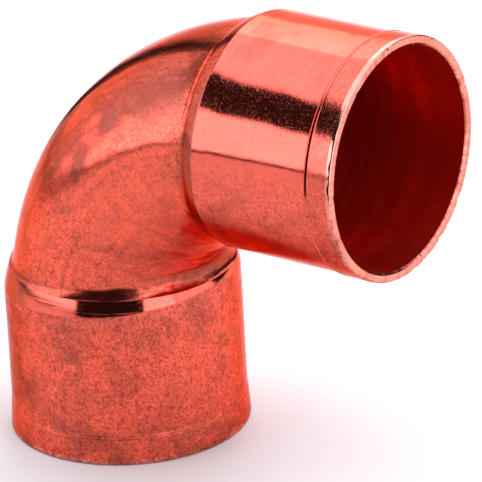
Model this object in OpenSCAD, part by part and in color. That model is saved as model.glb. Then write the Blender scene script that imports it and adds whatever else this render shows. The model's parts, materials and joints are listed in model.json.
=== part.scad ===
// Ninety degree copper elbow with two equal female solder sockets.
// The fitting is one piece of formed tube. It is divided here at its forming lines into closed
// solids that meet face to face: bend tube, necks, shoulders, sockets, beads, collars and rims.
// Origin: centre of the lower mouth. +Z runs up the lower socket, +X out of the upper socket.

/* [Tube and cup] */
// Outside diameter of the copper tube that the sockets take
tube_d = 28; // [27.5:0.1:28.5]
// Gap all round between the tube and the cup, filled by solder
solder_gap = 0.06; // [0.03:0.01:0.1]
// Wall thickness of the cup
cup_wall = 0.94; // [0.7:0.01:1.1]
// Depth of the cup, from the mouth to the tube stop
cup_depth = 20; // [19.2:0.1:21]

/* [Mouth] */
// Length of the sized collar at each mouth, with its rim
collar_len = 3.45; // [2.5:0.05:4.5]
// How far the collar stands proud of the cup
collar_rise = 0.25; // [0.1:0.01:0.4]
// Width of the fine bead behind the collar
bead_w = 0.5; // [0.4:0.05:0.8]
// How far the bead stands proud of the collar
bead_rise = 0.07; // [0.04:0.01:0.15]
// Length of the rounded rim zone
rim_len = 0.6; // [0.5:0.05:1]
// Radius that breaks the outer edge of the rim
rim_round = 0.2; // [0.1:0.05:0.3]
// Depth of the lead-in chamfer inside the mouth
lead_in = 0.25; // [0.1:0.05:0.4]

/* [Shoulder] */
// Distance from the mouth to the crease where shoulder and bend meet
crease_z = 22.1; // [21.6:0.1:22.8]
// Radius of the crease
crease_r = 14.4; // [14.3:0.05:14.5]
// Radius of the shoulder's convex profile
shoulder_round = 6.2; // [5:0.1:7]
// Height of plain cup below the tube stop that belongs to the shoulder
shoulder_skirt = 1.4; // [1.3:0.1:2]
// How far the shoulder is pressed towards the inside of the bend
shoulder_shift = 0.3; // [0.2:0.05:0.4]
// Axial length of the concave neck beyond the crease
neck_len = 1.8; // [1.6:0.1:2.2]
// Radius at the small end of the neck
neck_r = 13.2; // [13:0.1:13.3]
// Radius of the neck's hollow
neck_hollow = 2.4; // [2.2:0.1:3]

/* [Bend] */
// Distance from each mouth to the other leg's axis
centre_to_face = 43.8; // [43:0.1:45]
// Radius of the bend's outer wall, from its pivot
heel_r = 42.63; // [42.3:0.01:42.9]
// Distance from each leg's axis to the pivot of the bend
pivot_offset = 28.5; // [28.3:0.1:28.7]
// Width of the bend tube across the plane of the bend
bend_w = 28; // [27.8:0.1:28.2]
// Width of the bend tube in the plane of the bend, where bending flattens it
bend_t = 26.14; // [25.8:0.01:26.5]
// Wall thickness of the bend tube
bend_wall = 1; // [0.8:0.05:1.2]

/* [Hidden] */
$fn = 96;
cup_r = tube_d / 2 + solder_gap;
socket_r = cup_r + cup_wall;
collar_r = socket_r + collar_rise;
bead_z = collar_len;
socket_z = bead_z + bead_w;
shoulder_z = cup_depth - shoulder_skirt;
pivot_z = centre_to_face - pivot_offset;
mid_r = heel_r - bend_t / 2;
// Widest radius of the shoulder profile, a hair outside the socket all round
dome_spare = 0.045;
dome_r = socket_r + shoulder_shift + dome_spare;
dome_drop = acos(1 - (dome_r - crease_r) / shoulder_round);
dome_z = crease_z - shoulder_round * sin(dome_drop);
// Overlap of cutting shapes, and a size larger than any single piece
slack = 1;
big = 60;

satin = [0.80, 0.36, 0.27];
bright = [0.90, 0.52, 0.42];
dull = [0.70, 0.30, 0.22];

// Moves a shape made on the lower leg to the upper leg
module on_upper_leg() {
  translate([centre_to_face, 0, centre_to_face]) mirror([1, 0, 1]) children();
}

// The bend's cross-section, two round sides joined by a narrow flat, shrunk by inset
module bend_section(inset = 0) {
  r = bend_t / 2 - inset;
  spread = (bend_w - bend_t) / 2;
  translate([mid_r, 0]) {
    translate([0, spread]) circle(r);
    translate([0, -spread]) circle(r);
    translate([-r, -spread]) square([2 * r, 2 * spread]);
  }
}

// A quarter turn of a cross-section about the bend's pivot
module quarter_turn() {
  translate([pivot_offset, 0, pivot_z]) rotate([90, 0, 0]) mirror([1, 0, 0])
    rotate_extrude(angle = 90) children();
}

// Everything inside the bore of the bend
module bend_bore() {
  quarter_turn() bend_section(bend_wall);
}

// A ring turned about the leg's axis, with a plain bore of the cup's radius
module cup_ring(z0, z1, r) {
  translate([0, 0, z0]) difference() {
    cylinder(r = r, h = z1 - z0);
    translate([0, 0, -slack]) cylinder(r = cup_r, h = z1 - z0 + 2 * slack);
  }
}

module bend_tube() {
  color(satin) intersection() {
    quarter_turn() difference() {
      bend_section();
      bend_section(bend_wall);
    }
    translate([-big, -big, crease_z]) cube([big + centre_to_face - crease_z, 2 * big, 2 * big]);
  }
}

// Concave flare that closes the step between the crease and the bend tube
module neck() {
  // The hollow is an arc from the crease to the small end: its centre lies off the chord's middle
  run = [neck_r - crease_r, neck_len];
  chord = norm(run);
  rise = sqrt(neck_hollow * neck_hollow - chord * chord / 4);
  centre = [crease_r, 0] + run / 2 + rise * [run[1], -run[0]] / chord;
  difference() {
    translate([shoulder_shift, 0, crease_z]) rotate_extrude() difference() {
      polygon([[0, 0], [crease_r, 0], [neck_r, neck_len], [0, neck_len]]);
      translate(centre) circle(neck_hollow);
    }
    quarter_turn() bend_section();
  }
}

// Convex shoulder, with the ledge that stops the tube
module shoulder() {
  difference() {
    intersection() {
      translate([0, 0, shoulder_z]) cylinder(r = socket_r, h = crease_z - shoulder_z);
      translate([shoulder_shift, 0, 0]) rotate_extrude() union() {
        square([dome_r, dome_z]);
        intersection() {
          translate([dome_r - shoulder_round, dome_z]) circle(shoulder_round);
          square([dome_r, crease_z]);
        }
        square([dome_r - shoulder_round, crease_z]);
      }
    }
    cylinder(r = cup_r, h = cup_depth);
    bend_bore();
  }
}

module socket() {
  cup_ring(socket_z, shoulder_z, socket_r);
}

// Fine raised line, half round, between the cup and the collar
module bead() {
  rotate_extrude() {
    translate([cup_r, bead_z]) square([socket_r - cup_r, bead_w]);
    translate([collar_r + bead_rise - bead_w / 2, bead_z + bead_w / 2]) circle(bead_w / 2);
  }
}

module collar() {
  cup_ring(rim_len, collar_len, collar_r);
}

// Mouth lip: flat land, rounded outer edge and lead-in chamfer
module rim() {
  rotate_extrude() difference() {
    translate([cup_r, 0]) square([collar_r - cup_r, rim_len]);
    polygon([[cup_r - slack, -slack], [cup_r + lead_in, -slack], [cup_r + lead_in, 0],
             [cup_r, lead_in], [cup_r - slack, lead_in]]);
    difference() {
      translate([collar_r - rim_round, -slack]) square([slack + rim_round, slack + rim_round]);
      translate([collar_r - rim_round, rim_round]) circle(rim_round);
    }
  }
}

module lower_neck() { color(dull) neck(); }
module lower_shoulder() { color(bright) shoulder(); }
module lower_socket() { color(satin) socket(); }
module lower_bead() { color(satin) bead(); }
module lower_collar() { color(satin) collar(); }
module lower_rim() { color(bright) rim(); }
module upper_neck() { color(dull) on_upper_leg() neck(); }
module upper_shoulder() { color(bright) on_upper_leg() shoulder(); }
module upper_socket() { color(satin) on_upper_leg() socket(); }
module upper_bead() { color(bright) on_upper_leg() bead(); }
module upper_collar() { color(satin) on_upper_leg() collar(); }
module upper_rim() { color(bright) on_upper_leg() rim(); }

bend_tube();
lower_neck();
lower_shoulder();
lower_socket();
lower_bead();
lower_collar();
lower_rim();
upper_neck();
upper_shoulder();
upper_socket();
upper_bead();
upper_collar();
upper_rim();
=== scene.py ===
import json
import math

import bmesh
import bpy
import numpy as np
from mathutils import Matrix, Vector


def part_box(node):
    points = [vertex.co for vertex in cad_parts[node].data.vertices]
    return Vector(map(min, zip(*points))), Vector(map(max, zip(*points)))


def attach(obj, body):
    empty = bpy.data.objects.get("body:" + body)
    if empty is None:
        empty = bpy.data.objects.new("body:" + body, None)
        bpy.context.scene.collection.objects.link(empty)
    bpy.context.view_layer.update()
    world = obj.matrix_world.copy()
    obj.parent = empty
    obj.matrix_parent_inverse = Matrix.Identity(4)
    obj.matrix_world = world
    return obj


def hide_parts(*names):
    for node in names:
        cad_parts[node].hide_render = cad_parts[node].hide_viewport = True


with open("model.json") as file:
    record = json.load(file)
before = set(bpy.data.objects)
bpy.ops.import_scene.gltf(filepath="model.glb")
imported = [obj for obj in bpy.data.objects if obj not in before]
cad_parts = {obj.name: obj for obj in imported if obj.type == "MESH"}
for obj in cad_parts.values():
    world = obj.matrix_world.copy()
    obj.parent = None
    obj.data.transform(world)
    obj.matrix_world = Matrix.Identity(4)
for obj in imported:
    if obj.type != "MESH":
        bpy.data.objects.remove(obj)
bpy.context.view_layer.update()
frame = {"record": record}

MM = 0.001

# ---------------------------------------------------------------- sizes, in millimetres


def span(node):
    """Lowest and highest corner of a CAD node, in millimetres."""
    low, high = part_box(node)
    return np.array(low) / MM, np.array(high) / MM


MOUNTS = {m["name"]: m for m in frame["record"]["mounts"]}
REACH = MOUNTS["upper_cup"]["pos_m"][0] / MM    # each mouth to the other leg's axis
CUP_R = MOUNTS["lower_cup"]["dims"]["r_mm"]
RIM_Z = span("lower_rim")[1][2]
BEAD_Z = span("lower_collar")[1][2]
SOCKET_Z, SHOULDER_Z = span("lower_socket")[0][2], span("lower_socket")[1][2]
CREASE_Z = span("lower_shoulder")[1][2]
SOCKET_R = span("lower_socket")[1][1]
COLLAR_R = span("lower_collar")[1][1]
BEAD_R = span("lower_bead")[1][1]
CREASE_R = 14.4             # crease between shoulder and neck
SHOULDER_SHIFT = 0.3        # the shoulder is pressed this far towards the inside of the bend
STOP_Z = 20.0               # the internal tube stop
LEAD_IN = 0.25              # chamfer inside the mouth
RIM_ROUND = 0.2             # radius of the rim's outer edge
NECK_LEN = 0.95             # along the bend from the crease, on the outside of the bend
NECK_MORE = 2.1             # and this much more on the inside, where the blend is wider
NECK_POWER = 2.3            # how quickly the neck runs into the bend
PIVOT_OFFSET = 28.5         # from each leg's axis to the pivot of the bend
PIVOT = (PIVOT_OFFSET, REACH - PIVOT_OFFSET)
BEND_R = 29.56              # the bend's centreline
BEND_T, BEND_W = 13.07, 14.0    # half the tube's width in the plane of the bend, and across it
BEND_WALL = 1.0
FAN = (REACH - CREASE_Z, CREASE_Z)  # the two crease planes meet on this line
AROUND = 320                # points round the tube
THETA = np.linspace(0, 2 * np.pi, AROUND, endpoint=False)
QUARTER = math.pi / 2
BEND_RUN = FAN[0] * QUARTER  # length of the bend between the creases
UPPER_CREASE = CREASE_Z + BEND_RUN
TOTAL_RUN = UPPER_CREASE + CREASE_Z

# Lines along the bend: degrees round it, width in degrees, first and last mm along it, and depth
DRAW_LINES = (
    (273.5, 0.9, CREASE_Z - 3, CREASE_Z + 13, 0.55),
    (279.0, 0.8, CREASE_Z - 3, CREASE_Z + 9, 0.45),
    (236.0, 1.3, CREASE_Z + 4, UPPER_CREASE - 2, 0.35),
    (228.0, 1.0, CREASE_Z + 9, UPPER_CREASE, 0.3),
    (213.0, 1.6, CREASE_Z + 6, UPPER_CREASE - 4, 0.4),
    (203.0, 1.2, CREASE_Z, UPPER_CREASE, 0.3),
    (258.0, 1.1, CREASE_Z + 9, UPPER_CREASE, 0.4),
    (264.0, 0.8, CREASE_Z + 14, UPPER_CREASE, 0.4),
    (297.0, 1.4, CREASE_Z + 3, CREASE_Z + 22, 0.25),
    (118.0, 1.3, CREASE_Z, UPPER_CREASE, 0.35),
    (132.0, 1.0, CREASE_Z + 5, CREASE_Z + 25, 0.4),
    (86.0, 0.9, CREASE_Z - 3, CREASE_Z + 15, 0.5),
)
LINE_STRENGTH = 1.5         # on the depths above

# ---------------------------------------------------------------- surface wander


class Wander:
    """Smooth seeded unevenness: a sum of waves with lengths between short and long, in mm."""

    def __init__(self, seed, short, long, waves=28):
        rng = np.random.default_rng(seed)
        direction = rng.normal(size=(waves, 3))
        direction /= np.linalg.norm(direction, axis=1)[:, None]
        length = np.exp(rng.uniform(math.log(short), math.log(long), waves))
        self.k = direction * (2 * np.pi / length)[:, None]
        self.phase = rng.uniform(0, 2 * np.pi, waves)
        self.size = length / length.mean() / math.sqrt(waves / 2)

    def __call__(self, p):
        return (np.sin(p @ self.k.T + self.phase) * self.size).sum(-1)


broad = Wander(11, 9, 26)
small = Wander(12, 2.2, 6)


def finish_of(shine, tool, film):
    """Finish all round a ring: shine from 0, satin, to 1, polished, tool lines and brown film."""
    ring = np.zeros((AROUND, 3))
    ring[:, 0], ring[:, 1], ring[:, 2] = shine, tool, film
    return ring


def tube_at(run, radius=SOCKET_R):
    """Coordinates of the tube as if it were straight: round it by THETA, and run mm along it."""
    run = np.broadcast_to(run, THETA.shape)
    return np.stack([radius * np.cos(THETA), radius * np.sin(THETA), run], -1)


def fade(value, start, length):
    """From 0 at start to 1 at start + length."""
    return np.clip((value - start) / length, 0, 1)


def unevenness(tube, broad_mm, small_mm):
    """Broad and small wander together, each with its own strength in mm."""
    return broad_mm * broad(tube) + small_mm * small(tube)


# ---------------------------------------------------------------- the leg's profile


def about_leg(radius):
    """A circle about the shoulder's shifted axis, as radii about the leg's axis."""
    along, across = SHOULDER_SHIFT * np.cos(THETA), SHOULDER_SHIFT * np.sin(THETA)
    return along + np.sqrt(radius ** 2 - across ** 2)


SHOULDER_LEAST = 0.7        # height of the shoulder on the inside of the bend


def shoulder_height(tall):
    """How tall the pressed shoulder is: tall mm more on the outside of the bend than inside it."""
    return SHOULDER_LEAST + tall * np.sqrt((1 - np.cos(THETA)) / 2)


def shoulder_radius(z, tall, soft):
    """The socket's radius, then a nearly conical shoulder, slightly convex, up to the crease."""
    drop = SOCKET_R - about_leg(CREASE_R)
    up = 1 - (CREASE_Z - z) / shoulder_height(tall)
    up = (up + np.sqrt(up * up + soft * soft)) / 2
    up = up - soft * soft / 4
    return SOCKET_R - drop * (0.6 * up + 0.4 * up * up)


def inside_bend(point, half_t, half_w):
    """Below zero inside the bend's oval section."""
    rho = np.hypot(PIVOT[0] - point[..., 0], point[..., 2] - PIVOT[1])
    return ((rho - BEND_R) / half_t) ** 2 + (point[..., 1] / half_w) ** 2 - 1


HALVINGS = 40               # steps of each search by halving, far below a nanometre


def reach_out(base, direction, wall=0.0):
    """How far from base along direction the bend's surface is."""
    nearest, farthest = 4.0, 22.0
    low, high = np.full(direction.shape[:-1], nearest), np.full(direction.shape[:-1], farthest)
    for _ in range(HALVINGS):
        mid = (low + high) / 2
        inside = inside_bend(base + direction * mid[..., None], BEND_T - wall, BEND_W - wall) < 0
        low, high = np.where(inside, mid, low), np.where(inside, high, mid)
    return (low + high) / 2


def fan_mid(phi):
    """Distance from the fan line to the middle of the bend's section in the plane at phi."""
    ray = np.stack([-np.cos(phi), 0 * phi, np.sin(phi)], -1)
    start = np.stack([FAN[0] + 0 * phi, 0 * phi, FAN[1] + 0 * phi], -1)
    within, beyond = 21.0, 42.0     # one distance surely inside the tube, and one past it
    ends = []
    for low, high, entering in ((0.0, within, True), (within, beyond, False)):
        low, high = np.full(phi.shape, low), np.full(phi.shape, high)
        for _ in range(HALVINGS):
            mid = (low + high) / 2
            outside = inside_bend(start + ray * mid[..., None], BEND_T, BEND_W) > 0
            go_up = outside if entering else ~outside
            low, high = np.where(go_up, mid, low), np.where(go_up, high, mid)
        ends.append((low + high) / 2)
    return (ends[0] + ends[1]) / 2


MID_SHIFT = FAN[0] - fan_mid(np.array([0.0]))[0]


def inner_side():
    """From 0 on the outside of the bend to 1 on its inside."""
    return fade(np.cos(THETA), -0.35, 1.35)


def inner_corner_brown():
    """How much brown on the inside of the bend, next to the lower leg's crease."""
    half_width = 0.6            # radians round the tube
    inside = np.minimum(THETA, 2 * math.pi - THETA)
    return 0.9 * np.exp(-(inside / half_width) ** 4)


def bend_film(run):
    """Brown film on the bend: on its outside, with an uneven edge, and along the lines left by the
    bending tool; brown as well on its inside by the lower crease."""
    tube = tube_at(run)
    bent = (run - CREASE_Z) / BEND_RUN * 90     # degrees along the bend
    # the film's edge on the outside is where heel, 1 on the outermost line, passes edge
    heel = -np.cos(THETA) + 0.06 * broad(tube) + 0.05 * small(tube)
    edge = 0.34 + 0.2 * fade(bent, 45, 15) - 0.08 * fade(bent, 65, 8)
    film = 0.9 * fade(heel, edge, 0.14) * (0.95 + 0.14 * broad(tube + 40))
    film = film * fade(bent, 26, 10) * fade(-run, -UPPER_CREASE, 1.5)
    film = film + inner_corner_brown() * fade(-run, -CREASE_Z - 6, 3)
    fade_len = 3.0              # each line fades over this many mm at its ends
    for place, wide, first, last, deep in DRAW_LINES:
        waver = 0.35 * np.sin(run * 0.9 + place)
        away = (np.degrees(THETA) - place + waver) / wide
        ends = fade(run, first, fade_len) * fade(-run, -last, fade_len)
        broken = 0.7 + 0.3 * np.sin(run * 2.3 + place)
        film = film + LINE_STRENGTH * deep * ends * np.exp(-away ** 2) * broken
    return np.clip(film, 0, 1)


def bend_wobble(tube, end):
    """Unevenness of the bend, in mm outwards. end is the angle to the nearer crease, in radians."""
    # faint facets along the bend
    facets = 0.005 * np.sin(THETA * 37 + 2.1 * np.sin(THETA * 5)) * np.clip(end * 8, 0, 1)
    # small dents on the inside, near the creases
    dents = 0.022 * small(tube * 1.7) * np.exp(-(end / 0.3) ** 2) * np.clip(end * 12, 0, 1)
    # the inside is drawn in by up to 0.3 mm, most at 1.7 mm past the crease
    along = end * (FAN[0] - SOCKET_R + 1.6) / 1.7
    drawn_in = 0.3 * along * np.exp(1 - along)
    return unevenness(tube, 0.03, 0.006) + facets + (dents - drawn_in) * inner_side()


def fan_row(phi, extra=0.0, wall=0.0, wobble=True, shine=0.3, film=None):
    """One ring of the bend: phi may differ round the ring. extra is added outwards."""
    phi = np.broadcast_to(phi, THETA.shape).astype(float)
    ray = np.stack([-np.cos(phi), 0 * phi, np.sin(phi)], -1)
    start = np.array([FAN[0], 0, FAN[1]])
    base = start + ray * (fan_mid(phi) + MID_SHIFT)[:, None]
    direction = -ray * np.cos(THETA)[:, None] + np.array([0, 1, 0]) * np.sin(THETA)[:, None]
    tube = tube_at(CREASE_Z + BEND_RUN * phi / QUARTER, SOCKET_R - wall)
    far = reach_out(base, direction, wall) + extra
    end = np.minimum(phi, QUARTER - phi)
    if wobble:
        far = far + bend_wobble(tube, end)
    film = bend_film(tube[:, 2]) if film is None else film
    # shinier from 10 mm past the lower crease
    shine = shine + 0.3 * fade(tube[:, 2], CREASE_Z + 10, 6) * np.clip(end * 6, 0, 1)
    return base + direction * far[:, None], tube, finish_of(shine, 0.0, film)


def leg_row(z, radius, wobble=0.03, shine=0.0, tool=0.0, film=0.0):
    """One ring of the lower leg, at height z, with these radii."""
    z = np.broadcast_to(z, THETA.shape).astype(float)
    tube = tube_at(z)
    radius = radius + unevenness(tube, wobble, wobble * 0.13)
    points = np.stack([radius * np.cos(THETA), radius * np.sin(THETA), z], -1)
    return points, tube, finish_of(shine, tool, film)


def flip(rows):
    """Moves rows made on the lower leg to the upper leg."""
    out = []
    for point, tube, finish in rows:
        moved = np.stack([REACH - point[:, 2], point[:, 1], REACH - point[:, 0]], -1)
        turned = tube.copy()
        turned[:, 2] = TOTAL_RUN - tube[:, 2]
        out.append((moved, turned, finish))
    return out


# ---------------------------------------------------------------- making a piece


def lofted(node, bands):
    """A closed ring-shaped piece that stands for a CAD node.
    A band is (rows, 0 for the outside's finish or 1 for the bore's). Each band is smooth, and bands
    meet at corners: a band's last row is the next band's first."""
    name = "copper_" + node
    rows, index_of, corner_rows = [], [], set()
    for band, index in bands:
        first = 0 if not rows else 1
        corner_rows.add(max(len(rows) - 1, 0))
        for row in band[first:]:
            if rows:
                index_of.append(index)
            rows.append(row)
    # the last band comes back to the first row
    rows.pop()
    bm = bmesh.new()
    tube_layer = bm.verts.layers.float_vector.new("tube")
    finish_layer = bm.verts.layers.float_vector.new("finish")
    grid = []
    for point, tube, finish in rows:
        ring = []
        for p, t, f in zip((point * MM).tolist(), tube.tolist(), finish.tolist()):
            v = bm.verts.new(p)
            v[tube_layer], v[finish_layer] = t, f
            ring.append(v)
        grid.append(ring)
    for i in range(len(rows)):
        a, b = grid[i], grid[(i + 1) % len(rows)]
        for j in range(AROUND):
            k = (j + 1) % AROUND
            face = bm.faces.new((a[j], a[k], b[k], b[j]))
            face.material_index = index_of[i]
            face.smooth = True
    bmesh.ops.recalc_face_normals(bm, faces=bm.faces)
    for i in corner_rows:
        for j in range(AROUND):
            edge = bm.edges.get((grid[i][j], grid[i][(j + 1) % AROUND]))
            edge.smooth = False
    mesh = bpy.data.meshes.new(name)
    bm.to_mesh(mesh)
    bm.free()
    mesh.materials.append(FINISHES[SLOTS[node]])
    mesh.materials.append(bore)
    piece = bpy.data.objects.new(name, mesh)
    bpy.context.scene.collection.objects.link(piece)
    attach(piece, "root")
    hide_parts(node)


# ---------------------------------------------------------------- materials


class Nodes:
    """Short names for making a node tree."""

    def __init__(self, tree):
        self.tree = tree
        self.n, self.link = tree.nodes, tree.links.new

    def put(self, socket, value):
        if isinstance(value, bpy.types.NodeSocket):
            self.link(value, socket)
        elif value is not None:
            socket.default_value = value

    def attribute(self, name):
        node = self.n.new("ShaderNodeAttribute")
        node.attribute_name = name
        return node.outputs["Vector"]

    def math(self, kind, a, b=None, c=None, clamp=False):
        node = self.n.new("ShaderNodeMath")
        node.operation, node.use_clamp = kind, clamp
        for socket, value in zip(node.inputs, (a, b, c)):
            self.put(socket, value)
        return node.outputs[0]

    def ramp(self, value, low, high, to_low=0.0, to_high=1.0):
        node = self.n.new("ShaderNodeMapRange")
        node.interpolation_type = "SMOOTHSTEP"
        for i, v in enumerate((value, low, high, to_low, to_high)):
            self.put(node.inputs[i], v)
        return node.outputs[0]

    def noise(self, vector, scale, detail=3.0, rough=0.5, distort=0.0):
        node = self.n.new("ShaderNodeTexNoise")
        self.put(node.inputs["Vector"], vector)
        node.inputs["Scale"].default_value = scale
        node.inputs["Detail"].default_value = detail
        node.inputs["Roughness"].default_value = rough
        node.inputs["Distortion"].default_value = distort
        return node.outputs["Fac"]

    def stretch(self, vector, scale):
        node = self.n.new("ShaderNodeMapping")
        self.put(node.inputs["Vector"], vector)
        node.inputs["Scale"].default_value = scale
        return node.outputs[0]

    def mix(self, factor, a, b):
        node = self.n.new("ShaderNodeMix")
        node.data_type = "RGBA"
        self.put(node.inputs[0], factor)
        self.put(node.inputs[6], a)
        self.put(node.inputs[7], b)
        return node.outputs[2]

    def bump(self, height, distance, normal=None):
        node = self.n.new("ShaderNodeBump")
        node.inputs["Distance"].default_value = distance * MM
        self.put(node.inputs["Height"], height)
        self.put(node.inputs["Normal"], normal)
        return node.outputs[0]


def copper(name, clean, stain, film_colour, grime=1.0, satin_rough=0.16, shiny_rough=0.045):
    """Formed copper. Colours are linear, and noise scales are per mm.
    The mesh says where it is shiny, where it has tool lines and where it has brown film."""
    material = bpy.data.materials.new(name)
    material.use_nodes = True
    g = Nodes(material.node_tree)
    shader = g.n["Principled BSDF"]
    tube = g.attribute("tube")
    split = g.n.new("ShaderNodeSeparateXYZ")
    g.put(split.inputs[0], g.attribute("finish"))
    shine, tool, film = split.outputs

    # patterns, from the finest to the broadest, and the lines along and round the tube
    grain = g.noise(tube, 2.7, 5, 0.8)
    speck = g.ramp(grain, 0.45, 0.62)
    pale = g.ramp(g.noise(tube, 3.1, 3, 0.7), 0.56, 0.68)
    mottle = g.noise(tube, 0.95, 5, 0.75, 0.4)
    blotch = g.ramp(mottle, 0.42, 0.68)
    patch = g.ramp(g.noise(tube, 0.19, 5, 0.66, 0.6), 0.42, 0.66)
    lines = g.noise(g.stretch(tube, (2.4, 2.4, 0.05)), 1.0, 4, 0.65)
    streak = g.ramp(lines, 0.54, 0.74)
    turned = g.noise(g.stretch(tube, (0.04, 0.04, 4.2)), 1.0, 3, 0.6)

    # soft and dull go from 1 on satin metal to almost 0 on polished metal
    soft = g.math("MULTIPLY_ADD", shine, -0.95, 1.0)
    dull = g.math("MULTIPLY_ADD", g.math("MULTIPLY", shine, shine), -0.92, 1.0)
    dull = g.math("MULTIPLY", dull, grime)

    # pits: coarse on satin metal, fine pricks everywhere
    pit = g.ramp(g.noise(tube, 1.9, 3, 0.8), 0.30, 0.36, 1.0, 0.0)
    prick = g.ramp(g.noise(tube, 5.5, 2, 0.6), 0.30, 0.38, 1.0, 0.0)
    pit = g.math("MULTIPLY_ADD", pit, soft, g.math("MULTIPLY", prick, 0.18), clamp=True)

    # dark oxide, and brown film over it where the mesh says so and in patches
    dark = g.math("MULTIPLY_ADD", speck, 0.64, g.math("MULTIPLY", blotch, 0.33))
    dark = g.math("ADD", dark, g.math("MULTIPLY", streak, 0.18))
    dark = g.math("MULTIPLY_ADD", dark, dull, g.math("MULTIPLY", pit, 0.4), clamp=True)
    brown = g.math("MULTIPLY_ADD", grain, 0.9, 0.25)
    brown = g.math("MULTIPLY", brown, g.math("MULTIPLY", patch, dull))
    uneven = g.math("MULTIPLY_ADD", mottle, 1.3, 0.3)
    brown = g.math("MULTIPLY_ADD", film, uneven, brown, clamp=True)
    colour = g.mix(g.math("MULTIPLY", pale, g.math("MULTIPLY", dull, 0.9)), clean, PALE)
    colour = g.mix(brown, colour, film_colour)
    g.put(shader.inputs["Base Color"], g.mix(dark, colour, stain))
    rough = g.math("MULTIPLY_ADD", shine, shiny_rough - satin_rough, satin_rough)
    rough = g.math("MULTIPLY_ADD", dark, 0.10, rough)
    g.put(shader.inputs["Roughness"], g.math("MULTIPLY_ADD", brown, 0.03, rough))

    # bumps, with their heights in mm
    normal = g.bump(g.noise(tube, 6.5, 1, 0.5), 0.0027)
    normal = g.bump(g.math("MULTIPLY", g.noise(tube, 2.6, 4, 0.7), soft), 0.022, normal)
    normal = g.bump(g.math("MULTIPLY", lines, soft), 0.010, normal)
    normal = g.bump(g.math("MULTIPLY", turned, tool), 0.014, normal)
    normal = g.bump(pit, -0.012, normal)
    g.put(shader.inputs["Normal"], normal)
    shader.inputs["Metallic"].default_value = 1.0
    shader.inputs["Specular Tint"].default_value = EDGE
    return material


# linear colours: bare metal, satin and polished, dark oxide, brown film, pale grain, the cut rim
# lightened by a painted highlight, the tint at grazing angles, and the bore with its rings
CLEAN = (0.99, 0.144, 0.084, 1)
BRIGHT = (0.93, 0.150, 0.100, 1)
DARK = (0.27, 0.032, 0.021, 1)
FILM = (0.38, 0.088, 0.058, 1)
PALE = (1.0, 0.26, 0.20, 1)
# the cut rim's pale copper, made lighter still: a painted highlight over the whole rim
CUT_AND_HIGHLIGHT = (0.98, 0.36, 0.27, 1)
EDGE = (1.0, 0.46, 0.40, 1)
BORE = (1.0, 0.085, 0.022, 1)
BORE_DARK = (0.68, 0.034, 0.010, 1)

FINISHES = {
    "satin_copper": copper("satin", CLEAN, DARK, FILM),
    "bright_copper": copper("bright", BRIGHT, DARK, FILM),
    "pressed_copper": copper("pressed", BRIGHT, DARK, FILM),
    # the rim's colour carries a painted highlight as well as the pale cut metal
    "cut_copper": copper("cut_and_highlight", CUT_AND_HIGHLIGHT, DARK, FILM, grime=1.2, satin_rough=0.2),
}
bore = copper("bore", BORE, BORE_DARK, BORE_DARK, satin_rough=0.34)

# ---------------------------------------------------------------- the pieces of a leg

LIP_WOBBLE = 0.012          # mm of unevenness near the mouth
CREASE_SHINE = 0.45         # where the neck starts
LEDGE_HALF = 0.25           # the tube stop's rounded step takes this many mm either side of it


class Leg:
    """What differs between the two legs.

    crisp: how sharp the bead is. shine: the socket's. tall: how much taller the shoulder is on the
    outside of the bend, in mm. corner: how soft the shoulder's lower edge is. burnish: the
    shoulder's shine. film: brown film on the shoulder. smear: brown film on the socket, as its
    strength, where it starts and how soon it is full, both from 1 on the outside of the bend to -1
    on its inside. seed: for the nicks in the rim."""

    def __init__(self, crisp, shine, tall, corner, burnish, film, smear, seed):
        self.crisp, self.shine, self.tall, self.corner = crisp, shine, tall, corner
        self.burnish, self.film, self.smear, self.seed = burnish, film, smear, seed


def inner_leg(z):
    """A ring of the cup's bore, with a faint ring pattern that closes up with depth."""
    return leg_row(z, CUP_R, 0, 0.0, 0.6, 0.5 + 0.5 * math.sin(z * z * 0.11))


def bore_row(z):
    """A ring of the bend's bore, where it runs down into the shoulder."""
    direction = np.stack([np.cos(THETA), np.sin(THETA), 0 * THETA], -1)
    return leg_row(z, reach_out(np.array([0, 0, z]), direction, BEND_WALL), 0)


def line(a, b, steps):
    return [a + (b - a) * i / steps for i in range(steps + 1)]


def smooth(t):
    """An S-curve from 0 to 1."""
    return t * t * (3 - 2 * t)


def closed(outer, inner):
    """The four bands of a ring: outside, far end, bore and near end."""
    return [(outer, 0), ([outer[-1], inner[0]], 0), (inner, 1), ([inner[-1], outer[0]], 0)]


def nicks(seed, count):
    """Small dents round an edge, as depths from 0 to 1."""
    rng = np.random.default_rng(seed)
    depth = np.zeros(AROUND)
    for _ in range(count):
        place = rng.uniform(0, 2 * math.pi)
        width, deep = rng.uniform(0.15, 0.4), rng.uniform(0.2, 1)
        away = np.abs((THETA - place + math.pi) % (2 * math.pi) - math.pi) * COLLAR_R
        depth += deep * np.exp(-(away / width) ** 2)
    return np.clip(depth, 0, 1)


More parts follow.
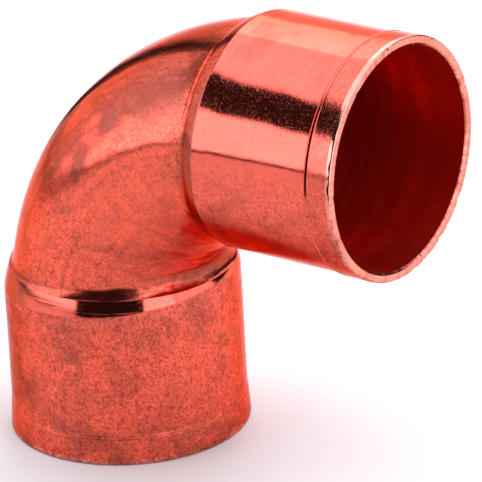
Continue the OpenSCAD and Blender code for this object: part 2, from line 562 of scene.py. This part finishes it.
def rim_bands(leg):
    """The rim: rounded outer edge, flat land and lead-in chamfer, with nicks in both edges."""
    outer_nick, inner_nick = 0.15 * nicks(leg.seed, 16), 0.13 * nicks(leg.seed + 1, 14)
    land_shine = 0.8
    rounded = []
    for t in line(0, 1, 6):
        a = QUARTER * t
        z = RIM_ROUND * (1 - math.cos(a)) + outer_nick * (1 - t)
        r = COLLAR_R - RIM_ROUND * (1 - math.sin(a)) - outer_nick * math.cos(a - 0.6)
        rounded.append(leg_row(z, r, LIP_WOBBLE, leg.shine))
    sides = [leg_row(z, COLLAR_R, LIP_WOBBLE, leg.shine) for z in line(RIM_ROUND, RIM_Z, 3)[1:]]
    outer = rounded + sides
    land_in, land_out = CUP_R + LEAD_IN, COLLAR_R - RIM_ROUND
    land = []
    for t in line(0, 1, 6)[:-1]:
        sink = inner_nick * max(0.0, 1 - 3 * t) + outer_nick * max(0.0, 3 * t - 2)
        land.append(leg_row(sink, land_in + (land_out - land_in) * t, LIP_WOBBLE, land_shine))
    land.append(rounded[0])
    chamfer = [inner_leg(LEAD_IN), land[0]]
    inner = [inner_leg(z) for z in line(RIM_Z, LEAD_IN, 2)]
    return [(land, 0), (outer, 0), ([outer[-1], inner[0]], 0), (inner, 1), (chamfer, 0)]


def groove_radius(leg):
    """Radius of the groove between collar and bead, shallower where the bead is less crisp."""
    return SOCKET_R + 0.12 - 0.06 * (1 - leg.crisp)


def collar_bands(leg):
    """The collar, tapered where it is less crisp, down to the groove."""
    blunt = 1 - leg.crisp
    taper, drop_len = 0.16 * blunt, 0.14 + 0.3 * blunt
    top_r, groove_r, top_z = COLLAR_R - taper, groove_radius(leg), BEAD_Z - drop_len
    shine = leg.shine * 0.75
    outer = []
    for z in line(RIM_Z, top_z, 10):
        r = COLLAR_R - taper * (z - RIM_Z) / (top_z - RIM_Z)
        outer.append(leg_row(z, r, LIP_WOBBLE, shine))
    for t in line(0, 1, 5)[1:]:
        a = QUARTER * t
        z, r = BEAD_Z - drop_len * (1 - math.sin(a)), top_r - (top_r - groove_r) * (1 - math.cos(a))
        outer.append(leg_row(z, r, LIP_WOBBLE, shine))
    return closed(outer, [inner_leg(z) for z in line(BEAD_Z, RIM_Z, 6)])


def bead_bands(leg):
    """The bead: a fine raised line on the slope from the groove down to the socket."""
    groove_r = groove_radius(leg)
    outer = []
    for t in line(0, 1, 12):
        foot = groove_r + (SOCKET_R - groove_r) * smooth(t)
        height = (BEAD_R - 0.03 - foot) * leg.crisp
        r = foot + height * math.sin(math.pi * t) ** 1.3
        outer.append(leg_row(BEAD_Z + (SOCKET_Z - BEAD_Z) * t, r, LIP_WOBBLE, leg.shine))
    return closed(outer, [inner_leg(z) for z in line(SOCKET_Z, BEAD_Z, 1)])


def socket_bands(leg):
    """The socket: its wobble and its film grow over the first 3 mm from the bead."""
    ends, margin = 0.1, 0.45    # close rings at both ends, in mm
    heights = [SOCKET_Z, SOCKET_Z + ends] + line(SOCKET_Z + margin, SHOULDER_Z - margin, 34)
    heights += [SHOULDER_Z - ends, SHOULDER_Z]
    amount, start, length = leg.smear
    outer = []
    for z in heights:
        grown = min(1, (z - SOCKET_Z) / 3)
        heel = -np.cos(THETA) + 0.2 * broad(tube_at(z)) + 0.12 * small(tube_at(z))
        film = amount * fade(heel, start, length) * grown
        outer.append(leg_row(z, SOCKET_R, LIP_WOBBLE + 0.006 * grown, leg.shine, 0, film))
    return closed(outer, [inner_leg(z) for z in line(SHOULDER_Z, SOCKET_Z, 70)])


def shoulder_bands(leg):
    """The shoulder, with its own finish above its lower edge, and the rounded tube stop inside."""
    lower_edge = CREASE_Z - shoulder_height(leg.tall)
    outer = []
    for z in line(SHOULDER_Z, CREASE_Z, 60)[:-1]:
        pressed = fade(z, lower_edge - 0.1, 0.3)
        own = leg.shine + (leg.burnish - leg.shine) * pressed
        radius = shoulder_radius(z, leg.tall, leg.corner)
        outer.append(leg_row(z, radius, 0.03, own, pressed, leg.film * pressed))
    outer.append(crease_row(leg.burnish, leg.film))
    bore_part = [bore_row(z) for z in line(CREASE_Z, STOP_Z + LEDGE_HALF, 6)]
    top_r = np.hypot(bore_part[-1][0][:, 0], bore_part[-1][0][:, 1])
    ledge = []
    for t in line(0, 1, 9)[1:]:
        z = STOP_Z + LEDGE_HALF * (1 - 2 * t)
        ledge.append(leg_row(z, top_r + (CUP_R - top_r) * smooth(t), 0))
    step = [inner_leg(z) for z in line(STOP_Z - LEDGE_HALF, SHOULDER_Z, 4)[1:]]
    return closed(outer, bore_part + ledge + step)


def crease_row(shine, film):
    """The ring where shoulder and neck meet."""
    return leg_row(CREASE_Z, about_leg(CREASE_R), shine=shine, tool=1.0, film=film)


def neck_angle():
    """The fan angle that the neck takes, all round: less on the outside, which is further out."""
    point = fan_row(0.0, wobble=False)[0]
    return (NECK_LEN + NECK_MORE * inner_side()) / (FAN[0] - point[:, 0])


def neck_bands(leg):
    """The neck: concave, from crease to bend, blotted and brown on the inside of the bend."""
    lift = about_leg(CREASE_R) - np.hypot(*fan_row(0.0, wobble=False)[0][:, :2].T)
    phi_top = neck_angle()
    outer = [crease_row(CREASE_SHINE, leg.film)]
    for t in line(0, 1, 24)[1:]:
        shine = max(0.05, CREASE_SHINE - 1.4 * t)
        # brown on the inside of the bend, next to the crease
        stain = inner_corner_brown() * min(1, 4 * t)
        blots = 0.3 * inner_side() * fade(small(tube_at(CREASE_Z + 2.5 * t) * 1.6), 0.2, 1)
        film = leg.film * (1 - t) + blots + stain
        outer.append(fan_row(phi_top * t, lift * (1 - t) ** NECK_POWER, shine=shine, film=film))
    inner = [fan_row(phi_top * t, wall=BEND_WALL, wobble=False) for t in (1, 0.5, 0)]
    return closed(outer, inner)


def bend_bands():
    low = neck_angle()
    high = QUARTER - low
    outer = [fan_row(low + (high - low) * t) for t in line(0, 1, 120)]
    inner = [fan_row(high + (low - high) * t, wall=BEND_WALL, wobble=False) for t in line(0, 1, 40)]
    return closed(outer, inner)


def flipped(bands):
    return [(flip(rows), index) for rows, index in bands]


ZONES = {
    "rim": rim_bands, "collar": collar_bands, "bead": bead_bands,
    "socket": socket_bands, "shoulder": shoulder_bands, "neck": neck_bands,
}
SLOTS = {part["node"]: part["material_slot"] for part in frame["record"]["subparts"]}
# the lower shoulder is burnished except on the outside of the bend
LOWER_FILM = 0.8 * fade(-np.cos(THETA), 0.26, 0.12)
# the upper socket is polished, but less on its underside
UPPER_SHINE = 0.92 - 0.5 * fade(np.cos(THETA), -0.15, 0.4)
lower_leg = Leg(0.04, 0.05, 2.5, 0.04, 0.9, LOWER_FILM, (0.75, -0.2, 0.8), 21)
upper_leg = Leg(0.7, UPPER_SHINE, 1.25, 0.015, 0.3, 0.9, (0.5, 0.92, 0.12), 31)
for zone, make_bands in ZONES.items():
    lofted(f"lower_{zone}", make_bands(lower_leg))
for zone, make_bands in ZONES.items():
    lofted(f"upper_{zone}", flipped(make_bands(upper_leg)))
lofted("bend_tube", bend_bands())

# ---------------------------------------------------------------- floor, light and camera

AIM = Vector((12, 0, 30)) * MM              # the lights face this point
COOL = (1.0, 1.0, 1.18)                     # the lights' colour


def two_tone(name, scale, tone_a, tone_b, roughness):
    """A matt material that varies between two tones. scale is per metre."""
    material = bpy.data.materials.new(name)
    material.use_nodes = True
    g = Nodes(material.node_tree)
    shader = g.n["Principled BSDF"]
    tone = g.noise(g.n.new("ShaderNodeNewGeometry").outputs["Position"], scale, 3)
    g.put(shader.inputs["Base Color"], g.mix(tone, tone_a, tone_b))
    shader.inputs["Roughness"].default_value = roughness
    return material


def sheet(name, corners, material):
    """A flat sheet that isn't part of the object. Corners in mm."""
    mesh = bpy.data.meshes.new(name)
    mesh.from_pydata([[v * MM for v in corner] for corner in corners], [], [(0, 1, 2, 3)])
    mesh.materials.append(material)
    flat = bpy.data.objects.new(name, mesh)
    bpy.context.scene.collection.objects.link(flat)
    return flat


def outward(azimuth, elevation):
    """The direction at azimuth, from the front towards +X, and elevation, in degrees."""
    a, e = math.radians(azimuth), math.radians(elevation)
    return Vector((math.sin(a) * math.cos(e), -math.cos(a) * math.cos(e), math.sin(e)))


def panel(name, corner, along, across, radiance):
    """An area light that fills a rectangle, in mm, and faces the object."""
    corner, along, across = Vector(corner), Vector(along), Vector(across)
    light = bpy.data.lights.new(name, "AREA")
    light.shape = "RECTANGLE"
    light.size, light.size_y = along.length * MM, across.length * MM
    light.energy = radiance * math.pi * light.size * light.size_y
    light.color = COOL
    centre = corner + (along + across) / 2
    x, y = along.normalized(), across.normalized()
    z = x.cross(y)
    if z.dot(centre - AIM / MM) < 0:
        x, z = -x, -z
    lamp = bpy.data.objects.new(name, light)
    bpy.context.scene.collection.objects.link(lamp)
    turned = Matrix((x, y, z)).transposed().to_4x4()
    lamp.matrix_world = Matrix.Translation(centre * MM) @ turned
    lamp.visible_camera = False


def wall(name, azimuth_a, azimuth_b, distance, low, high, radiance):
    """An upright panel between two azimuths, from height low to height high, in mm."""
    a, b = [AIM / MM + outward(azimuth, 0) * distance for azimuth in (azimuth_a, azimuth_b)]
    panel(name, (a.x, a.y, low), (b.x - a.x, b.y - a.y, 0), (0, 0, high - low), radiance)


FLOOR_HALF, FLOOR_Z = 2500, -0.05
paper = two_tone("paper", 40.0, (0.79, 0.78, 0.69, 1), (0.83, 0.82, 0.73, 1), 0.85)
square = ((-1, -1), (1, -1), (1, 1), (-1, 1))
sheet("floor", [(x * FLOOR_HALF, y * FLOOR_HALF, FLOOR_Z) for x, y in square], paper)

panel("left_front", (-248, -138, 22), (0, -1712, 0), (0, 0, 242), 2.35)
panel("left", (-248, 175, 22), (0, -313, 0), (0, 0, 242), 1.6)
wall("back", -168, -126, 400, 2, 600, 1.4)
wall("right", 53, 84, 210, 2, 260, 2.2)
wall("right_back", 86, 130, 380, 2, 260, 1.5)
panel("top", (-132, -300, 340), (669, 205, 0), (-381, 1243, 0), 1.9)

# black cards: one in front, which the camera looks through, and a slim one, leaning, at the left
felt = two_tone("felt", 900.0, (0.008, 0.008, 0.008, 1), (0.02, 0.02, 0.02, 1), 0.9)
felt.node_tree.nodes["Principled BSDF"].inputs["Specular IOR Level"].default_value = 0.0
FRONT_CARD_AZIMUTHS, FRONT_CARD_DISTANCE, FRONT_CARD_HEIGHT = (-12, 52), 150, 300
a, b = [AIM / MM + outward(azimuth, 0) * FRONT_CARD_DISTANCE for azimuth in FRONT_CARD_AZIMUTHS]
front_card = sheet("front_card", [
    (a.x, a.y, 0), (b.x, b.y, 0), (b.x, b.y, FRONT_CARD_HEIGHT), (a.x, a.y, FRONT_CARD_HEIGHT),
], felt)
back_card = sheet("back_card", [
    (-120, 114, 0), (-120, 81, 0), (-120, 47, 165), (-120, 77, 165),
], felt)
front_card.visible_camera = back_card.visible_camera = False

# the camera sees a pale backdrop, and everything else a dim room
world = bpy.data.worlds.new("studio")
bpy.context.scene.world = world
world.use_nodes = True
g = Nodes(world.node_tree)
seen = g.n.new("ShaderNodeLightPath").outputs["Is Camera Ray"]
ROOM, BACKDROP = (0.03, 0.03, 0.03, 1), (0.93, 0.93, 0.93, 1)
g.put(g.n["Background"].inputs["Color"], g.mix(seen, ROOM, BACKDROP))

AZIMUTH, ELEVATION, ROLL = 36.93, 23.076, -3.228
DISTANCE = 0.7485
SENSOR = 36
LENS_IN_WIDTHS = 12.448                     # focal length over the picture's width
TARGET = Vector((12, 0, 24)) * MM
SHIFT_SIDE, SHIFT_RISE = 5.43 * MM, 2.31 * MM   # from TARGET to the picture's centre
a, turn = math.radians(AZIMUTH), math.radians(ROLL)
back = outward(AZIMUTH, ELEVATION)
right = Vector((math.cos(a), math.sin(a), 0))
up = back.cross(right)
side = math.cos(turn) * right + math.sin(turn) * up
rise = -math.sin(turn) * right + math.cos(turn) * up
place = TARGET + side * SHIFT_SIDE + rise * SHIFT_RISE + back * DISTANCE
camera = bpy.data.cameras.new("camera")
camera.sensor_width = SENSOR
camera.lens = SENSOR * LENS_IN_WIDTHS
camera.clip_start, camera.clip_end = 0.01, 20
eye = bpy.data.objects.new("camera", camera)
bpy.context.scene.collection.objects.link(eye)
eye.matrix_world = Matrix.Translation(place) @ Matrix((side, rise, back)).transposed().to_4x4()
bpy.context.scene.camera = eye
bpy.context.scene.view_settings.view_transform = "Standard"
